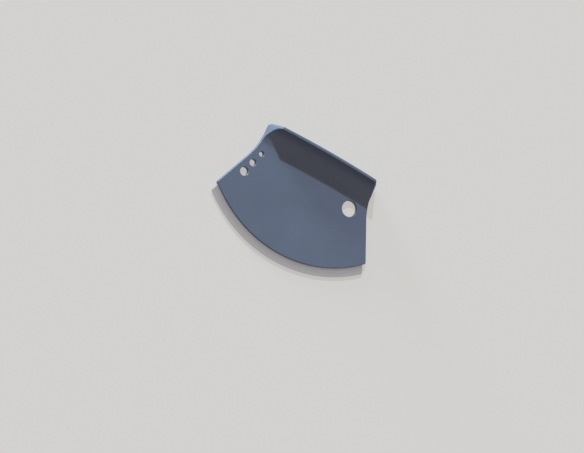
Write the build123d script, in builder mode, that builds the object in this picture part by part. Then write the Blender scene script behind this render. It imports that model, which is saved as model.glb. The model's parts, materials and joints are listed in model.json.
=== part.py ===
"""Mezzaluna with a moulded handle: a curved steel blade held in one plastic body.

It lies on its flat rear face. X runs along the blade, +Y points from the cutting
edge to the palm rest, and +Z is up, out of the front face. Millimetres.
The origin is on the rear face, under the middle of the overall outline.
"""

import os
from math import asin, atan2, cos, degrees, hypot, sin, sqrt, tan

from build123d import *

# Outline of the handle, seen from the front
body_length = 150.0  # between the two lower corners
body_height = 67.4  # from the line through the lower corners to the top of the crown
lower_arc_radius = 112.0  # curved lower edge that the blade stands out of
top_length = 108.5  # between the end walls of the palm rest, at its back
crown_rise = 1.3  # how far the middle of the palm rest stands above its ends
end_wall_height = 7.0  # straight end walls under the crown, before they flare
flare_radius = 62.0  # bend from the end wall to the straight flank
lower_corner_radius = 1.5

# Section of the handle
wall = 4.0  # thickness of the plate
rest_depth = 20.0  # from the rear face to the front of the palm rest
lean_start = 1.2  # above the plate, where the palm rest starts to lean in
end_lean = 6.5  # how far each end of the palm rest leans in by the front
top_fall = 1.8  # how far the crown falls by the front
lip_thickness = 4.4  # measured down from the crown's arc at the back
lip_land = 1.0  # straight underside of the lip, in front of the cove
heel_radius = 3.0  # rear edge of the palm rest
edge_round = 0.7  # all other outer edges

# Herb stripping holes through the plate, in a row beside one flank
strip_count = 3
strip_diameter = 7.5  # the lowest and largest hole
strip_step = 1.5  # each hole is this much smaller than the one below it
strip_along = 24.3  # from the lower corner to the lowest hole, along the flank
strip_pitch = 10.8
strip_margin = 4.4  # plastic between each hole and the flank

# Hanging hole through the plate, beside the other flank
hang_diameter = 14.0
hang_along = 46.0  # from the lower corner, along the flank
hang_margin = 9.0  # plastic between the hole and the flank
rim_break = 0.3  # chamfer on the rims of all holes

# Blade
blade_thickness = 1.5
blade_reveal = 7.5  # bare steel below the handle
blade_inset = 2.8  # from the line of the flank to the end of the blade
tip_radius = 0.8
bevel_width = 2.6  # ground on both faces
edge_land = 0.12  # thickness left along the cutting edge
tang_depth = 15.0  # steel inside the handle
key_diameter = 6.0  # holes in the tang that the plastic fills
key_count = 5
key_angle = 15.0  # between holes, about the centre of the lower arc

# One overrun serves every cut
overrun = 5.0

# An edge is rounded where its two faces turn by more than this
smooth_angle = 25.0

# Places worked out from the sizes above
half_length = body_length / 2
half_top = top_length / 2
arc_drop = sqrt(lower_arc_radius**2 - half_length**2)
arc_sagitta = lower_arc_radius - arc_drop
corner_y = (blade_reveal + arc_sagitta - body_height) / 2
top_y = corner_y + body_height
end_top_y = top_y - crown_rise
neck_y = end_top_y - end_wall_height
arc_centre_y = corner_y + arc_drop
crown_radius = (half_top**2 + crown_rise**2) / (2 * crown_rise)
crown_centre_y = top_y - crown_radius

# The straight flank runs from the lower corner, tangent to the flare
flare_aside = half_top + flare_radius - half_length
flare_up = neck_y - corner_y
flare_away = hypot(flare_aside, flare_up)
flank_lean = asin(flare_radius / flare_away) - atan2(flare_aside, flare_up)


def beside_flank(side, along, inward):
    """Point on the plate, along a flank from its lower corner and inward from it."""
    x = half_length - along * sin(flank_lean) - inward * cos(flank_lean)
    y = corner_y + along * cos(flank_lean) - inward * sin(flank_lean)
    return (side * x, y)


def sharp_edges(body):
    """Edges of a body whose two faces turn by more than the smooth angle."""
    found = []
    for edge in body.edges():
        middle = edge @ 0.5
        normals = [face.normal_at(middle) for face in body.faces() if edge in face.edges()]
        if len(normals) == 2 and normals[0].get_angle(normals[1]) > smooth_angle:
            found.append(edge)
    return found


holes = [(beside_flank(1, hang_along, hang_margin + hang_diameter / 2), hang_diameter)]
for number in range(strip_count):
    diameter = strip_diameter - number * strip_step
    along = strip_along + number * strip_pitch
    holes.append((beside_flank(-1, along, strip_margin + diameter / 2), diameter))

# Blade: sheet steel between two arcs about one centre, ground to an edge on both faces
blade_low_z = (wall - blade_thickness) / 2
blade_high_z = (wall + blade_thickness) / 2
edge_radius = lower_arc_radius + blade_reveal
tang_radius = lower_arc_radius - tang_depth
blade_plane = Plane((0, arc_centre_y, blade_low_z))
blade_axis = Axis((0, arc_centre_y, 0), (0, 0, 1))
bevel_plane = Plane((0, arc_centre_y, 0), x_dir=(0, 1, 0), z_dir=(1, 0, 0))
grind_depth = (blade_thickness - edge_land) / 2

with BuildPart() as blade:
    with BuildSketch(blade_plane):
        Circle(edge_radius)
        Circle(tang_radius, mode=Mode.SUBTRACT)
        # the ends are cut parallel to the flanks
        end_slope = tan(flank_lean)
        end_x = half_length - blade_inset / cos(flank_lean)
        end_x_at_centre = end_x - arc_drop * end_slope
        end_x_below = end_x + (edge_radius + overrun - arc_drop) * end_slope
        Polygon(
            (-end_x_at_centre, 0),
            (-end_x_below, -edge_radius - overrun),
            (end_x_below, -edge_radius - overrun),
            (end_x_at_centre, 0),
            align=None,
            mode=Mode.INTERSECT,
        )
    extrude(amount=blade_thickness)
    tips = blade.edges().filter_by(Axis.Z).sort_by(Axis.X)
    fillet([tips[0], tips[-1]], tip_radius)
    # ground bevels, drawn as radius from the arc's centre and height
    with BuildSketch(bevel_plane):
        for face_z, inward in ((blade_low_z, 1), (blade_high_z, -1)):
            with BuildLine():
                Polyline(
                    (edge_radius - bevel_width, face_z),
                    (edge_radius, face_z + inward * grind_depth),
                    (edge_radius + overrun, face_z + inward * grind_depth),
                    (edge_radius + overrun, face_z - inward * overrun),
                    (edge_radius - bevel_width, face_z - inward * overrun),
                    close=True,
                )
            make_face()
    revolve(axis=blade_axis, mode=Mode.SUBTRACT)
    # holes through the middle of the tang, for the plastic to key into
    key_sweep = key_angle * (key_count - 1)
    key_start = -90 - key_sweep / 2
    with BuildSketch(blade_plane):
        with PolarLocations(
            lower_arc_radius - tang_depth / 2, key_count, key_start, key_sweep, endpoint=True
        ):
            Circle(key_diameter / 2)
    extrude(amount=blade_thickness, mode=Mode.SUBTRACT)

blade.part.label = "blade"

# Handle: one moulding. Its outline is drawn at the back and, pinched together, at the
# front. The block between them is cut down to the plate and the lip by the cove, which
# follows the crown
lip_radius = crown_radius - lip_thickness
cove_radius = rest_depth - wall - lip_land
lean_from = wall + lean_start
pinch = 1 - end_lean / half_top
pinch_centre_y = top_y - top_fall / (1 - pinch)
cove_plane = Plane((0, crown_centre_y, 0), x_dir=(0, -1, 0), z_dir=(-1, 0, 0))
crown_axis = Axis((0, crown_centre_y, 0), (0, 0, 1))
cut_inner = crown_radius - body_height - arc_sagitta - crown_rise - overrun

with BuildPart() as handle:
    with BuildSketch() as rear_outline:
        with BuildLine():
            end_wall = Line((half_top, end_top_y), (half_top, neck_y))
            flare = JernArc(end_wall @ 1, end_wall % 1, flare_radius, degrees(flank_lean))
            Line(flare @ 1, (half_length, corner_y))
            mirror(about=Plane.YZ)
            ThreePointArc((half_top, end_top_y), (0, top_y), (-half_top, end_top_y))
            ThreePointArc(
                (half_length, corner_y), (0, corner_y - arc_sagitta), (-half_length, corner_y)
            )
        make_face()
    extrude(amount=lean_from)
    with BuildSketch(Plane.XY.offset(lean_from)):
        add(rear_outline.sketch)
    with BuildSketch(Plane.XY.offset(rest_depth)):
        with Locations((0, pinch_centre_y * (1 - pinch))):
            add(scale(rear_outline.sketch, by=pinch, mode=Mode.PRIVATE))
    loft(ruled=True)
    # finger cove, drawn as radius from the crown's centre and height
    with BuildSketch(cove_plane):
        with BuildLine():
            floor_line = Line((cut_inner, wall), (lip_radius - cove_radius, wall))
            cove = JernArc(floor_line @ 1, (1, 0), cove_radius, 90)
            Polyline(
                cove @ 1,
                (lip_radius, rest_depth + overrun),
                (cut_inner, rest_depth + overrun),
                floor_line @ 0,
            )
        make_face()
    revolve(axis=crown_axis, mode=Mode.SUBTRACT)
    # round the heel of the palm rest and the two lower corners
    rear_edges = handle.edges().group_by(Axis.Z)[0].sort_by(Axis.Y)
    fillet(rear_edges[-1], heel_radius)
    corner_edges = handle.edges().filter_by(Axis.Z).sort_by(Axis.X)
    fillet([corner_edges[0], corner_edges[-1]], lower_corner_radius)
    # round every outer edge that is still sharp
    fillet(sharp_edges(handle), edge_round)
    # holes, with their rims eased
    for place, diameter in holes:
        with Locations(place):
            Hole(diameter / 2)
        chamfer(handle.edges(Select.LAST).filter_by(GeomType.CIRCLE), rim_break)
    # the plastic is moulded round the tang and through its key holes
    add(blade.part, mode=Mode.SUBTRACT)

handle.part.label = "handle"

os.makedirs("parts", exist_ok=True)
export_step(blade.part, "parts/blade.step")
export_step(handle.part, "parts/handle.step")
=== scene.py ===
"""Finish, stage and camera of a mezzaluna: a steel blade moulded into a plastic handle.

The end corners of the handle's palm rest are rounded too. Everything is in metres, in
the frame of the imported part: X along the blade, +Y from the cutting edge to the palm
rest, +Z up out of the front face. Run as a script.
"""

import json
from math import cos, hypot, radians, sin

import bmesh
import bpy
from mathutils import Matrix, Vector


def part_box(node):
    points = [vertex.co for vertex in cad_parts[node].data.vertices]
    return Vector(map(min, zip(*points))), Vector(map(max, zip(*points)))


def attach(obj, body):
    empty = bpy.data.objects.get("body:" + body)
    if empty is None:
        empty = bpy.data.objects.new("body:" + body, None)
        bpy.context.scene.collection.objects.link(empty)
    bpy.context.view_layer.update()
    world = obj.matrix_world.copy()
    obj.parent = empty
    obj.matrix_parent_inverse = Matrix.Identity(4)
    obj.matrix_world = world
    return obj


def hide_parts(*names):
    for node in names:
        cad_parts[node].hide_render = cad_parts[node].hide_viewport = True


bl_info = {
    "name": "Mezzaluna",
    "version": (1, 0, 0),
    "blender": (4, 5, 0),
    "location": "3D View > Sidebar > Mezzaluna",
    "description": "Rounds and dresses the handle, dresses the blade and lights both",
    "category": "Object",
}

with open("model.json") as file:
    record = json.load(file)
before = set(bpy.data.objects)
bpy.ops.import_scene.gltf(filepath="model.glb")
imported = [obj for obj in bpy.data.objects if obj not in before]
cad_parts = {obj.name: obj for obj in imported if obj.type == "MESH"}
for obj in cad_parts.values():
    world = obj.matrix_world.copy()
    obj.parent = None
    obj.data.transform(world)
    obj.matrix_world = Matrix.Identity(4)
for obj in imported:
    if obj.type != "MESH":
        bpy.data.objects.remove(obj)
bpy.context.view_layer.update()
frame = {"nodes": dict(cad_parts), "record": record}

HANDLE = frame["nodes"]["handle"]
BLADE = frame["nodes"]["blade"]
SLOTS = {entry["slot"]: entry for entry in frame["record"]["materials"]}

# Sizes that the finish follows, in metres
BODY_ARC = 0.112  # radius of the lower edge of the body
EDGE_ARC = 0.1195  # radius of the cutting edge
GROUND_WIDTH = 0.0026  # width of the ground bevel
ARC_CENTRE_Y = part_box("blade")[0].y + EDGE_ARC  # centre that both arcs share
PAINTED_SHADE_WIDTH = 0.0035  # width of the painted shade on the steel beside the body
BEVEL_BLEND = 0.00004  # half the width over which the bevel's look sets in
LINE_DEPTH = 0.000004  # depth of the brushed and ground lines
BRUSH_STRETCH = 110.0  # how many times longer than wide the brushed lines are
GRIND_STRETCH = 22.0  # the same for the ground ones

# Sizes of the palm rest, whose two end corners are rounded here, in metres
REST_HALF = 0.05425  # from its middle to an end wall, at the back
CROWN_RISE = 0.0013  # of its middle above its ends
REST_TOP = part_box("handle")[1].y - CROWN_RISE  # top of the end walls, at the back
REST_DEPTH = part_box("handle")[1].z
LEAN_FROM = 0.0052  # height at which the ends start to lean in
END_LEAN = Vector((0.0065, 0.001644))  # how far an end corner leans in by the front
CROWN_SLOPE = 2.746  # of the crown where it meets an end wall, in degrees
EDGE_ROUND = 0.0007  # rounding of the rear edges
FRONT_ROUND = Vector((0.00052, 0.0005))  # rounding of the front edges, inward and down
ROUND_TURNS = (0.0, 30.0, 60.0, 90.0)  # steps round a rounded edge, in degrees

# The two solids that cut the end corners
CUT_SLACK = 0.00002  # their arc starts and ends this far outside the plastic
CUT_REACH = 0.004  # how far they reach past the plastic
CUT_ENDS = (-4.0, 94.0 - CROWN_SLOPE)  # ends of the arc, past both walls, in degrees
CUT_STEPS = 14

# How the cut handle is joined and shaded
MERGE_DISTANCE = 1e-7  # vertices nearer than this are one, in metres
SHARP_ANGLE = 24.0  # an edge whose faces turn by more stays sharp, in degrees
FACE_WEIGHT = 100  # the largest faces rule the shading


def base_colour(slot):
    """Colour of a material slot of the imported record, with alpha."""
    return (*SLOTS[slot]["base_color"], 1.0)


class HandleFinish(bpy.types.PropertyGroup):
    """Looks of the moulded plastic, and the rounding of the palm rest's end corners."""

    colour: bpy.props.FloatVectorProperty(
        name="Colour",
        description="Colour of the moulded plastic",
        default=base_colour("handle_plastic"),
        size=4,
        subtype="COLOR",
        min=0.0,
        max=1.0,
    )
    corner_radius: bpy.props.FloatProperty(
        name="Corner radius",
        description="Rounding of the two end corners of the palm rest",
        default=0.0022,
        unit="LENGTH",
    )
    texture_size: bpy.props.FloatProperty(
        name="Texture size",
        description="Size of the grains of the mould's texture",
        default=0.00035,
        unit="LENGTH",
    )
    texture_depth: bpy.props.FloatProperty(
        name="Texture depth",
        description="Depth of the mould's texture",
        default=0.000012,
        unit="LENGTH",
    )
    wear: bpy.props.FloatProperty(
        name="Edge wear",
        description="How much the edges are rubbed pale by hands",
        default=0.25,
        min=0.0,
        max=1.0,
        subtype="FACTOR",
    )


class BladeFinish(bpy.types.PropertyGroup):
    """Looks of the steel."""

    colour: bpy.props.FloatVectorProperty(
        name="Colour",
        description="Colour of the bare steel",
        default=base_colour("blade_steel"),
        size=4,
        subtype="COLOR",
        min=0.0,
        max=1.0,
    )
    brushing: bpy.props.FloatProperty(
        name="Brushing",
        description="Width of the lines brushed along the blade",
        default=0.00012,
        unit="LENGTH",
    )
    grinding: bpy.props.FloatProperty(
        name="Grinding",
        description="Width of the marks that the grinding wheel left across the bevel",
        default=0.00018,
        unit="LENGTH",
    )
    # painted shade: how dark the steel's colour is painted beside the body, where the
    # body's shadow falls
    painted_shade: bpy.props.FloatProperty(
        name="Shade by the body",
        description="How dark the steel is where it enters the plastic",
        default=0.30,
        min=0.0,
        max=1.0,
        subtype="FACTOR",
    )


class StageSettings(bpy.types.PropertyGroup):
    """Floor, lamps and camera."""

    floor_colour: bpy.props.FloatVectorProperty(
        name="Floor",
        description="Pale colour of the floor and the room behind it",
        default=(0.68, 0.668, 0.65, 1.0),
        size=4,
        subtype="COLOR",
        min=0.0,
        max=1.0,
    )
    floor_shadow: bpy.props.FloatProperty(
        name="Floor shadow",
        description="Share of the floor's colour that lamps light and shadows darken",
        default=0.3,
        min=0.0,
        max=1.0,
        subtype="FACTOR",
    )
    room_light: bpy.props.FloatProperty(
        name="Room light",
        description="Strength of the even light of the room",
        default=0.36,
        min=0.0,
    )
    key_light: bpy.props.FloatProperty(
        name="Key light",
        description="Strength of the lamp above the palm rest",
        default=2.74,
        min=0.0,
    )
    rim_light: bpy.props.FloatProperty(
        name="Rim light",
        description="Strength of the wide low lamp beyond the stripping holes",
        default=5.9,
        min=0.0,
    )
    lens: bpy.props.FloatProperty(
        name="Lens",
        description="Focal length of the camera in millimetres",
        default=147.945,
    )


# Sockets of a Mix node that mixes colours
MIX_FACTOR, MIX_FIRST, MIX_SECOND, MIX_RESULT = 0, 6, 7, 2

# Range that most values of a noise lie in
MID_NOISE = (0.3, 0.7)


class Nodes:
    """Adds shader nodes to a tree and joins their sockets."""

    def __init__(self, tree):
        self.tree = tree

    def add(self, kind, inputs=None, **settings):
        """A new node, with its settings and its inputs."""
        node = self.tree.nodes.new(kind)
        for name, value in settings.items():
            setattr(node, name, value)
        for name, value in (inputs or {}).items():
            self.feed(node, name, value)
        return node

    def feed(self, node, name, value):
        """Sets an input, or joins an output to it."""
        socket = node.inputs[name]
        if isinstance(value, bpy.types.NodeSocket):
            self.tree.links.new(value, socket)
        else:
            socket.default_value = value

    def math(self, operation, *values):
        """A Math node's result."""
        inputs = dict(enumerate(values))
        return self.add("ShaderNodeMath", inputs, operation=operation).outputs["Value"]

    def ramp(self, value, low, high, to_low=0.0, to_high=1.0):
        """A value carried smoothly from one range to another."""
        inputs = {
            "Value": value,
            "From Min": low,
            "From Max": high,
            "To Min": to_low,
            "To Max": to_high,
        }
        node = self.add("ShaderNodeMapRange", inputs, interpolation_type="SMOOTHSTEP")
        return node.outputs["Result"]

    def mix(self, factor, first, second):
        """Two colours mixed by a factor."""
        node = self.add("ShaderNodeMix", data_type="RGBA")
        self.feed(node, MIX_FACTOR, factor)
        self.feed(node, MIX_FIRST, first)
        self.feed(node, MIX_SECOND, second)
        return node.outputs[MIX_RESULT]

    def noise(self, vector, scale, detail=2.0, roughness=0.5):
        """Noise from 0 to 1 at a place."""
        inputs = {
            "Vector": vector,
            "Scale": scale,
            "Detail": detail,
            "Roughness": roughness,
        }
        return self.add("ShaderNodeTexNoise", inputs).outputs["Fac"]


def new_group(name, inputs, outputs):
    """A shader node group with float outputs. An input without a value is a vector."""
    group = bpy.data.node_groups.new(name, "ShaderNodeTree")
    for label, value in inputs.items():
        kind = "NodeSocketVector" if value is None else "NodeSocketFloat"
        socket = group.interface.new_socket(label, in_out="INPUT", socket_type=kind)
        if value is not None:
            socket.default_value = value
    for label in outputs:
        group.interface.new_socket(label, in_out="OUTPUT", socket_type="NodeSocketFloat")
    nodes = Nodes(group)
    source = nodes.add("NodeGroupInput")
    sink = nodes.add("NodeGroupOutput")
    return group, nodes, source.outputs, sink


def edge_wear_group():
    """Mask of the edges, broken up so that it looks rubbed and not drawn."""
    inputs = {"Place": None, "Width": 0.0005, "Patch Scale": 150.0}
    group, nodes, given, sink = new_group("Edge wear", inputs, ["Mask"])
    rounded = nodes.add("ShaderNodeBevel", {"Radius": given["Width"]}, samples=16)
    flat = nodes.add("ShaderNodeNewGeometry").outputs["Normal"]
    dot = nodes.add("ShaderNodeVectorMath", operation="DOT_PRODUCT")
    nodes.feed(dot, 0, rounded.outputs["Normal"])
    nodes.feed(dot, 1, flat)
    turned = nodes.math("SUBTRACT", 1.0, dot.outputs["Value"])
    edge = nodes.ramp(turned, 0.01, 0.12)
    patch = nodes.noise(given["Place"], given["Patch Scale"], detail=4.0, roughness=0.6)
    broken = nodes.ramp(patch, *MID_NOISE, 0.45, 1.0)
    nodes.feed(sink, "Mask", nodes.math("MULTIPLY", edge, broken))
    return group


def scratches_group():
    """Mask of fine short scratches that run all ways."""
    inputs = {"Place": None, "Scale": 60.0, "Amount": 0.5}
    group, nodes, given, sink = new_group("Fine scratches", inputs, ["Mask"])
    marks = None
    # the turn in degrees, how narrow the scratches are, and a shift for each layer
    for turn, squeeze, shift in ((17, 55.0, 0.0), (-38, 70.0, 0.31), (74, 48.0, 0.77)):
        mapping = nodes.add("ShaderNodeMapping", vector_type="POINT")
        nodes.feed(mapping, "Vector", given["Place"])
        mapping.inputs["Rotation"].default_value = (0.0, 0.0, radians(turn))
        mapping.inputs["Scale"].default_value = (1.0, squeeze, 1.0)
        mapping.inputs["Location"].default_value = (shift, shift, shift)
        streak = nodes.noise(mapping.outputs["Vector"], given["Scale"], detail=1.0)
        mark = nodes.ramp(streak, 0.70, 0.76)
        marks = mark if marks is None else nodes.math("MAXIMUM", marks, mark)
    nodes.feed(sink, "Mask", nodes.math("MULTIPLY", marks, given["Amount"]))
    return group


def smudges_group():
    """Soft uneven patches, as fingers and drying water leave them."""
    inputs = {"Place": None, "Scale": 35.0}
    group, nodes, given, sink = new_group("Smudges", inputs, ["Mask"])
    wide = nodes.noise(given["Place"], given["Scale"], detail=3.0, roughness=0.55)
    nodes.feed(sink, "Mask", nodes.ramp(wide, 0.38, 0.68))
    return group


GROUP_MAKERS = {
    "Edge wear": edge_wear_group,
    "Fine scratches": scratches_group,
    "Smudges": smudges_group,
}


def shared_group(name):
    """A shared node group, built when it is first asked for."""
    return bpy.data.node_groups.get(name) or GROUP_MAKERS[name]()


def mask(nodes, place, name, inputs):
    """Mask that a shared node group makes at a place."""
    node = nodes.add("ShaderNodeGroup", inputs, node_tree=shared_group(name))
    nodes.feed(node, "Place", place)
    return node.outputs["Mask"]


def new_material(name):
    """A material with its nodes, its shader and the place on the object."""
    material = bpy.data.materials.new(name)
    material.use_nodes = True
    nodes = Nodes(material.node_tree)
    shader = material.node_tree.nodes["Principled BSDF"]
    place = nodes.add("ShaderNodeTexCoord").outputs["Object"]
    return material, nodes, shader, place


def give_material(piece, material):
    """Makes a material the only one of a piece."""
    piece.data.materials.clear()
    piece.data.materials.append(material)


def rounding(low, inward, down, up):
    """Levels of a rounded edge: height, and how far the side has moved inward."""
    levels = []
    for turn in ROUND_TURNS:
        angle = radians(turn)
        levels.append((low + up * down * sin(angle), inward * (1.0 - cos(angle))))
    return levels


def cutter_levels():
    """Levels of the cutters from below the rear face to above the front."""
    levels = rounding(EDGE_ROUND, EDGE_ROUND, EDGE_ROUND, -1.0)[::-1]
    levels.insert(0, (levels[0][0] - CUT_REACH, levels[0][1]))
    levels.append((LEAN_FROM, 0.0))
    inward, down = FRONT_ROUND
    levels += rounding(REST_DEPTH - down, inward, down, 1.0)
    levels.append((levels[-1][0] + CUT_REACH, levels[-1][1]))
    return levels


def resize(mesh, verts, factor):
    """Scales vertices about the origin, seen from above."""
    bmesh.ops.scale(mesh, verts=verts, vec=(factor, factor, 1.0))


def cutter_section(mesh, radius, height):
    """A flat section about the arc's centre: the arc, then three points far outside."""
    centre = (0, 0, 0)
    first = mesh.verts.new((radius + CUT_SLACK, 0.0, height))
    start, end = CUT_ENDS
    to_start = Matrix.Rotation(radians(start), 3, "Z")
    bmesh.ops.rotate(mesh, verts=[first], cent=centre, matrix=to_start)
    bmesh.ops.spin(
        mesh,
        geom=[first],
        cent=centre,
        axis=(0, 0, 1),
        angle=radians(end - start),
        steps=CUT_STEPS,
    )
    arc = list(mesh.verts)
    far = radius + CUT_REACH
    outer = [mesh.verts.new((x, y, height)) for x, y in ((0, far), (far, far), (far, 0))]
    return mesh.faces.new(arc + outer), arc


def corner_cutters(radius):
    """Closed solids outside the rounded corner of the palm rest, one at each end."""
    mesh = bmesh.new()
    levels = cutter_levels()
    low, shrunk = levels[0]
    section, arc = cutter_section(mesh, radius, low)
    resize(mesh, arc, (radius - shrunk) / radius)
    for number, (height, shrink) in enumerate(levels[1:]):
        made = bmesh.ops.extrude_face_region(mesh, geom=[section])["geom"]
        # the section that was drawn out would be left inside the solid
        if number > 0:
            bmesh.ops.delete(mesh, geom=[section], context="FACES_ONLY")
        section = next(part for part in made if isinstance(part, bmesh.types.BMFace))
        verts = list(section.verts)
        up = height - verts[0].co.z
        bmesh.ops.translate(mesh, verts=verts, vec=(0.0, 0.0, up))
        arc = [v for v in verts if hypot(v.co.x, v.co.y) < radius + 2 * CUT_SLACK]
        resize(mesh, arc, (radius - shrink) / (radius - shrunk))
        shrunk = shrink
    # the arc's centre follows the corner as it leans in
    slope = radians(CROWN_SLOPE)
    centre_x = REST_HALF - radius
    centre_y = REST_TOP + radius * (sin(slope) - 1.0) / cos(slope)
    for vert in mesh.verts:
        share = max(0.0, (vert.co.z - LEAN_FROM) / (REST_DEPTH - LEAN_FROM))
        vert.co.x += centre_x - share * END_LEAN.x
        vert.co.y += centre_y - share * END_LEAN.y
    # the other end's solid is its mirror image
    one_end = list(mesh.verts) + list(mesh.edges) + list(mesh.faces)
    bmesh.ops.mirror(mesh, geom=one_end, axis="X", merge_dist=-1.0)
    bmesh.ops.recalc_face_normals(mesh, faces=mesh.faces)
    return mesh


def place_object(name, data):
    """A new object of the scene."""
    made = bpy.data.objects.new(name, data)
    bpy.context.scene.collection.objects.link(made)
    return made


def cut_corners(piece, radius):
    """Cuts the end corners of the palm rest off a piece's mesh."""
    cutters = corner_cutters(radius)
    tool_data = bpy.data.meshes.new("corner_cutters")
    cutters.to_mesh(tool_data)
    cutters.free()
    tool = place_object("corner_cutters", tool_data)
    cut = piece.modifiers.new("corners", "BOOLEAN")
    cut.object = tool
    cut.operation = "DIFFERENCE"
    cut.solver = "EXACT"
    result = piece.evaluated_get(bpy.context.evaluated_depsgraph_get())
    piece.data = bpy.data.meshes.new_from_object(result)
    piece.modifiers.clear()
    bpy.data.objects.remove(tool)


def shade_evenly(piece):
    """Shades a cut mesh anew, smooth but for its sharp edges."""
    data = piece.data
    if "custom_normal" in data.attributes:
        data.attributes.remove(data.attributes["custom_normal"])
    mesh = bmesh.new()
    mesh.from_mesh(data)
    bmesh.ops.triangulate(mesh, faces=mesh.faces)
    for face in mesh.faces:
        face.smooth = True
    for edge in mesh.edges:
        edge.smooth = edge.calc_face_angle(0.0) < radians(SHARP_ANGLE)
    mesh.to_mesh(data)
    mesh.free()
    weighted = piece.modifiers.new("even_shading", "WEIGHTED_NORMAL")
    weighted.keep_sharp = True
    weighted.weight = FACE_WEIGHT


def rounded_handle(radius):
    """The handle with the end corners of its palm rest rounded."""
    data = HANDLE.data.copy()
    merged = bmesh.new()
    merged.from_mesh(data)
    bmesh.ops.remove_doubles(merged, verts=merged.verts, dist=MERGE_DISTANCE)
    merged.to_mesh(data)
    merged.free()
    piece = place_object("handle_moulding", data)
    cut_corners(piece, radius)
    shade_evenly(piece)
    return piece


def plastic_material(finish):
    """Satin grey-blue plastic with the fine texture of its mould."""
    material, nodes, shader, place = new_material("handle_moulded_plastic")
    wear = mask(nodes, place, "Edge wear", {"Width": 0.0009, "Patch Scale": 70.0})
    scratches = mask(nodes, place, "Fine scratches", {"Scale": 38.0, "Amount": 0.6})
    smudges = mask(nodes, place, "Smudges", {"Scale": 32.0})
    red, green, blue, _ = finish.colour
    deep = (red * 0.92, green * 0.92, blue * 0.94, 1.0)
    pale = (red * 1.9, green * 1.85, blue * 1.7, 1.0)
    flow = nodes.noise(place, 22.0, detail=3.0, roughness=0.6)
    colour = nodes.mix(nodes.ramp(flow, *MID_NOISE), deep, tuple(finish.colour))
    speck = nodes.noise(place, 1.0 / finish.texture_size, detail=1.0)
    speckle = nodes.ramp(speck, 0.5, 0.8, 0.0, 0.07)
    colour = nodes.mix(speckle, colour, pale)
    rubbed = nodes.math("MULTIPLY", wear, finish.wear)
    colour = nodes.mix(rubbed, colour, pale)
    marked = nodes.math("MULTIPLY", scratches, 0.3)
    colour = nodes.mix(marked, colour, pale)
    nodes.feed(shader, "Base Color", colour)
    rough = nodes.math("MULTIPLY_ADD", smudges, 0.10, 0.46)
    rough = nodes.math("MULTIPLY_ADD", wear, -0.10, rough)
    nodes.feed(shader, "Roughness", rough)
    grain = nodes.noise(place, 1.0 / finish.texture_size)
    height = nodes.math("MULTIPLY_ADD", scratches, -0.8, grain)
    fine_inputs = {"Strength": 0.6, "Distance": finish.texture_depth, "Height": height}
    fine = nodes.add("ShaderNodeBump", fine_inputs)
    nodes.feed(shader, "Normal", fine.outputs["Normal"])
    shader.inputs["Specular IOR Level"].default_value = 0.5
    return material


def arc_place(nodes, place):
    """Distance from the arc's centre, and length along the cutting edge."""
    split = nodes.add("ShaderNodeSeparateXYZ", {"Vector": place}).outputs
    down = nodes.math("SUBTRACT", split["Y"], ARC_CENTRE_Y)
    square = nodes.math("MULTIPLY", split["X"], split["X"])
    square = nodes.math("MULTIPLY_ADD", down, down, square)
    radius = nodes.math("SQRT", square)
    turn = nodes.math("ARCTAN2", split["X"], nodes.math("MULTIPLY", down, -1.0))
    along = nodes.math("MULTIPLY", turn, EDGE_ARC)
    return radius, along


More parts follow.
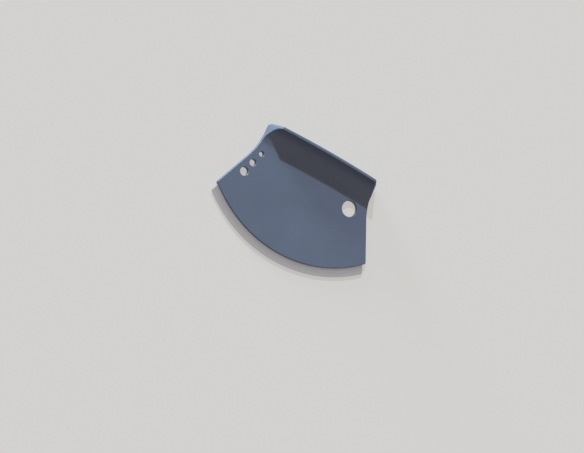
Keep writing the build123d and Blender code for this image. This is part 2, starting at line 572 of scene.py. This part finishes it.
def steel_material(finish):
    """Steel brushed along the arc and ground across the bevel, with shade painted beside
    the body.
    """
    material, nodes, shader, place = new_material("blade_brushed_steel")
    radius, along = arc_place(nodes, place)
    ground_from = EDGE_ARC - GROUND_WIDTH
    ground = nodes.ramp(radius, ground_from - BEVEL_BLEND, ground_from + BEVEL_BLEND)

    def lines(across, lengthwise, width, stretch):
        """Lines of a width, drawn out along the other direction."""
        fine = nodes.math("DIVIDE", across, width)
        slow = nodes.math("DIVIDE", lengthwise, width * stretch)
        joined = nodes.add("ShaderNodeCombineXYZ", {"X": fine, "Y": slow})
        return nodes.noise(joined.outputs["Vector"], 1.0, detail=3.0, roughness=0.65)

    brushed = lines(radius, along, finish.brushing, BRUSH_STRETCH)
    ground_lines = lines(along, radius, finish.grinding, GRIND_STRETCH)
    scratches = mask(nodes, place, "Fine scratches", {"Scale": 55.0, "Amount": 0.7})
    smudges = mask(nodes, place, "Smudges", {"Scale": 45.0})
    wear = mask(nodes, place, "Edge wear", {"Width": 0.0004, "Patch Scale": 260.0})
    red, green, blue, _ = finish.colour
    dull = (red * 0.74, green * 0.725, blue * 0.77, 1.0)
    clean = (red * 0.85, green * 0.832, blue * 0.885, 1.0)
    bright = (red * 0.98, green * 0.962, blue * 1.02, 1.0)
    # colour of the painted shade beside the body
    painted_shade_tone = (red * 0.25, green * 0.25, blue * 0.27, 1.0)
    streaks = nodes.ramp(brushed, *MID_NOISE)
    colour = nodes.mix(streaks, dull, clean)
    bevel_colour = nodes.mix(nodes.ramp(ground_lines, *MID_NOISE), clean, bright)
    colour = nodes.mix(ground, colour, bevel_colour)
    # painted shade: the steel's colour darkens towards the body, where its shadow falls
    painted_shade = nodes.ramp(radius, BODY_ARC, BODY_ARC + PAINTED_SHADE_WIDTH, finish.painted_shade, 0.0)
    colour = nodes.mix(painted_shade, colour, painted_shade_tone)
    colour = nodes.mix(nodes.math("MULTIPLY", wear, 0.6), colour, bright)
    nodes.feed(shader, "Base Color", colour)
    shader.inputs["Metallic"].default_value = 1.0
    rough = nodes.math("MULTIPLY_ADD", streaks, -0.08, 0.40)
    rough = nodes.math("MULTIPLY_ADD", smudges, 0.06, rough)
    rough = nodes.math("MULTIPLY_ADD", ground, -0.07, rough)
    rough = nodes.math("MULTIPLY_ADD", scratches, 0.08, rough)
    nodes.feed(shader, "Roughness", rough)
    across = nodes.mix(ground, brushed, ground_lines)
    height = nodes.math("MULTIPLY_ADD", scratches, -0.5, across)
    bump_inputs = {"Strength": 0.2, "Distance": LINE_DEPTH, "Height": height}
    bump = nodes.add("ShaderNodeBump", bump_inputs)
    nodes.feed(shader, "Normal", bump.outputs["Normal"])
    return material


class MEZZALUNA_OT_dress_handle(bpy.types.Operator):
    """Rounds the end corners of the palm rest and gives the handle its plastic"""

    bl_idname = "mezzaluna.dress_handle"
    bl_label = "Dress the handle"

    def execute(self, context):
        finish = context.scene.mezzaluna_handle
        piece = rounded_handle(finish.corner_radius)
        give_material(piece, plastic_material(finish))
        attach(piece, "root")
        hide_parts("handle")
        return {"FINISHED"}


class MEZZALUNA_OT_dress_blade(bpy.types.Operator):
    """Gives the blade its brushed and ground steel"""

    bl_idname = "mezzaluna.dress_blade"
    bl_label = "Dress the blade"

    def execute(self, context):
        give_material(BLADE, steel_material(context.scene.mezzaluna_blade))
        return {"FINISHED"}


# Side of the square floor, in metres
FLOOR_SIZE = 8.0

# Tints of the lamps and of the room's own light
KEY_COLOUR = (0.78, 0.915, 1.0)
ROOM_COLOUR = (1.0, 0.83, 0.725, 1.0)

# Lamps: the direction that each shines from, and its width in degrees
KEY_FROM = (-0.9, 1.256, 1.0)
KEY_WIDTH = 2.6
RIM_FROM = (-0.9, 0.6, 0.06)
RIM_WIDTH = 18.0

# Camera: what it aims at, from which direction and how far away, and its turn about
# its own axis in degrees
CAMERA_AIM = Vector((0.00216, -0.01739, 0.0))
CAMERA_FROM = Vector((-0.32113, -0.25088, 0.9132))
CAMERA_DISTANCE = 2.013
CAMERA_ROLL = 78.62
SENSOR_WIDTH = 36.0  # in millimetres
CLIP_NEAR = 0.05  # nearest and farthest that it sees, in metres
CLIP_FAR = 50.0


def seen_rays(nodes):
    """1 for rays from the camera, a reflection or through glass, 0 for others."""
    rays = nodes.add("ShaderNodeLightPath").outputs
    seen = nodes.math("MAXIMUM", rays["Is Camera Ray"], rays["Is Glossy Ray"])
    return nodes.math("MAXIMUM", seen, rays["Is Transmission Ray"])


def sun(name, strength, colour, came_from, width):
    """A sun lamp that shines from a direction, as wide as an angle in degrees."""
    data = bpy.data.lights.new(name, "SUN")
    data.energy = strength
    data.color = colour
    data.angle = radians(width)
    light = place_object(name, data)
    light.location = came_from
    light.rotation_mode = "QUATERNION"
    light.rotation_quaternion = Vector(came_from).to_track_quat("Z", "Y")


def make_floor(context, settings):
    """A pale floor. Part of its colour is its own, so that its shadow stays soft."""
    bpy.ops.mesh.primitive_plane_add(size=FLOOR_SIZE, location=(0.0, 0.0, 0.0))
    floor = context.active_object
    floor.name = "floor"
    material, nodes, shader, _ = new_material("floor_paper")
    colour = tuple(settings.floor_colour)
    lit = tuple(c * settings.floor_shadow for c in colour[:3]) + (1.0,)
    shader.inputs["Base Color"].default_value = lit
    shader.inputs["Roughness"].default_value = 0.9
    shader.inputs["Specular IOR Level"].default_value = 0.1
    shader.inputs["Emission Color"].default_value = colour
    own = nodes.math("MULTIPLY", seen_rays(nodes), 1.0 - settings.floor_shadow)
    nodes.feed(shader, "Emission Strength", own)
    give_material(floor, material)


def make_room(context, settings):
    """A room that lights the object evenly and is seen as pale as the floor."""
    world = bpy.data.worlds.new("room")
    context.scene.world = world
    world.use_nodes = True
    nodes = Nodes(world.node_tree)
    background = world.node_tree.nodes["Background"]
    seen = seen_rays(nodes)
    pale = tuple(settings.floor_colour)
    nodes.feed(background, "Color", nodes.mix(seen, ROOM_COLOUR, pale))
    more = nodes.math("MULTIPLY", seen, 1.0 - settings.room_light)
    nodes.feed(background, "Strength", nodes.math("ADD", more, settings.room_light))


def make_camera(context, settings):
    """The camera, turned as the picture has it."""
    data = bpy.data.cameras.new("camera")
    data.sensor_fit = "HORIZONTAL"
    data.sensor_width = SENSOR_WIDTH
    data.lens = settings.lens
    data.clip_start = CLIP_NEAR
    data.clip_end = CLIP_FAR
    camera = place_object("camera", data)
    back = CAMERA_FROM.normalized()
    level = Vector((0.0, 0.0, 1.0)).cross(back).normalized()
    turn = Matrix((level, back.cross(level), back)).transposed().to_4x4()
    roll = Matrix.Rotation(radians(CAMERA_ROLL), 4, "Z")
    stand = Matrix.Translation(CAMERA_AIM + back * CAMERA_DISTANCE)
    camera.matrix_world = stand @ turn @ roll
    context.scene.camera = camera


class MEZZALUNA_OT_set_stage(bpy.types.Operator):
    """Makes the floor, the room light, the lamps and the camera"""

    bl_idname = "mezzaluna.set_stage"
    bl_label = "Set the stage"

    def execute(self, context):
        settings = context.scene.mezzaluna_stage
        make_floor(context, settings)
        make_room(context, settings)
        sun("key", settings.key_light, KEY_COLOUR, KEY_FROM, KEY_WIDTH)
        sun("rim", settings.rim_light, KEY_COLOUR, RIM_FROM, RIM_WIDTH)
        make_camera(context, settings)
        context.scene.view_settings.view_transform = "Standard"
        return {"FINISHED"}


class MEZZALUNA_PT_panel(bpy.types.Panel):
    """Lists the steps that dress the mezzaluna"""

    bl_label = "Mezzaluna"
    bl_idname = "MEZZALUNA_PT_panel"
    bl_space_type = "VIEW_3D"
    bl_region_type = "UI"
    bl_category = "Mezzaluna"

    def draw(self, context):
        for group, operator in STEPS:
            box = self.layout.box()
            settings = getattr(context.scene, group)
            for name in settings.bl_rna.properties.keys():
                if name not in ("rna_type", "name"):
                    box.prop(settings, name)
            box.operator(operator)


STEPS = (
    ("mezzaluna_handle", "mezzaluna.dress_handle"),
    ("mezzaluna_blade", "mezzaluna.dress_blade"),
    ("mezzaluna_stage", "mezzaluna.set_stage"),
)

SETTINGS = {
    "mezzaluna_handle": HandleFinish,
    "mezzaluna_blade": BladeFinish,
    "mezzaluna_stage": StageSettings,
}

CLASSES = (
    *SETTINGS.values(),
    MEZZALUNA_OT_dress_handle,
    MEZZALUNA_OT_dress_blade,
    MEZZALUNA_OT_set_stage,
    MEZZALUNA_PT_panel,
)


def register():
    """Adds the panel, the operators and the settings."""
    for made in CLASSES:
        bpy.utils.register_class(made)
    for name, group in SETTINGS.items():
        setattr(bpy.types.Scene, name, bpy.props.PointerProperty(type=group))


def unregister():
    """Takes them out again."""
    for name in SETTINGS:
        delattr(bpy.types.Scene, name)
    for made in reversed(CLASSES):
        bpy.utils.unregister_class(made)


def main():
    """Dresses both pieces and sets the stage."""
    register()
    bpy.ops.mezzaluna.dress_handle()
    bpy.ops.mezzaluna.dress_blade()
    bpy.ops.mezzaluna.set_stage()


if __name__ == "__main__":
    main()
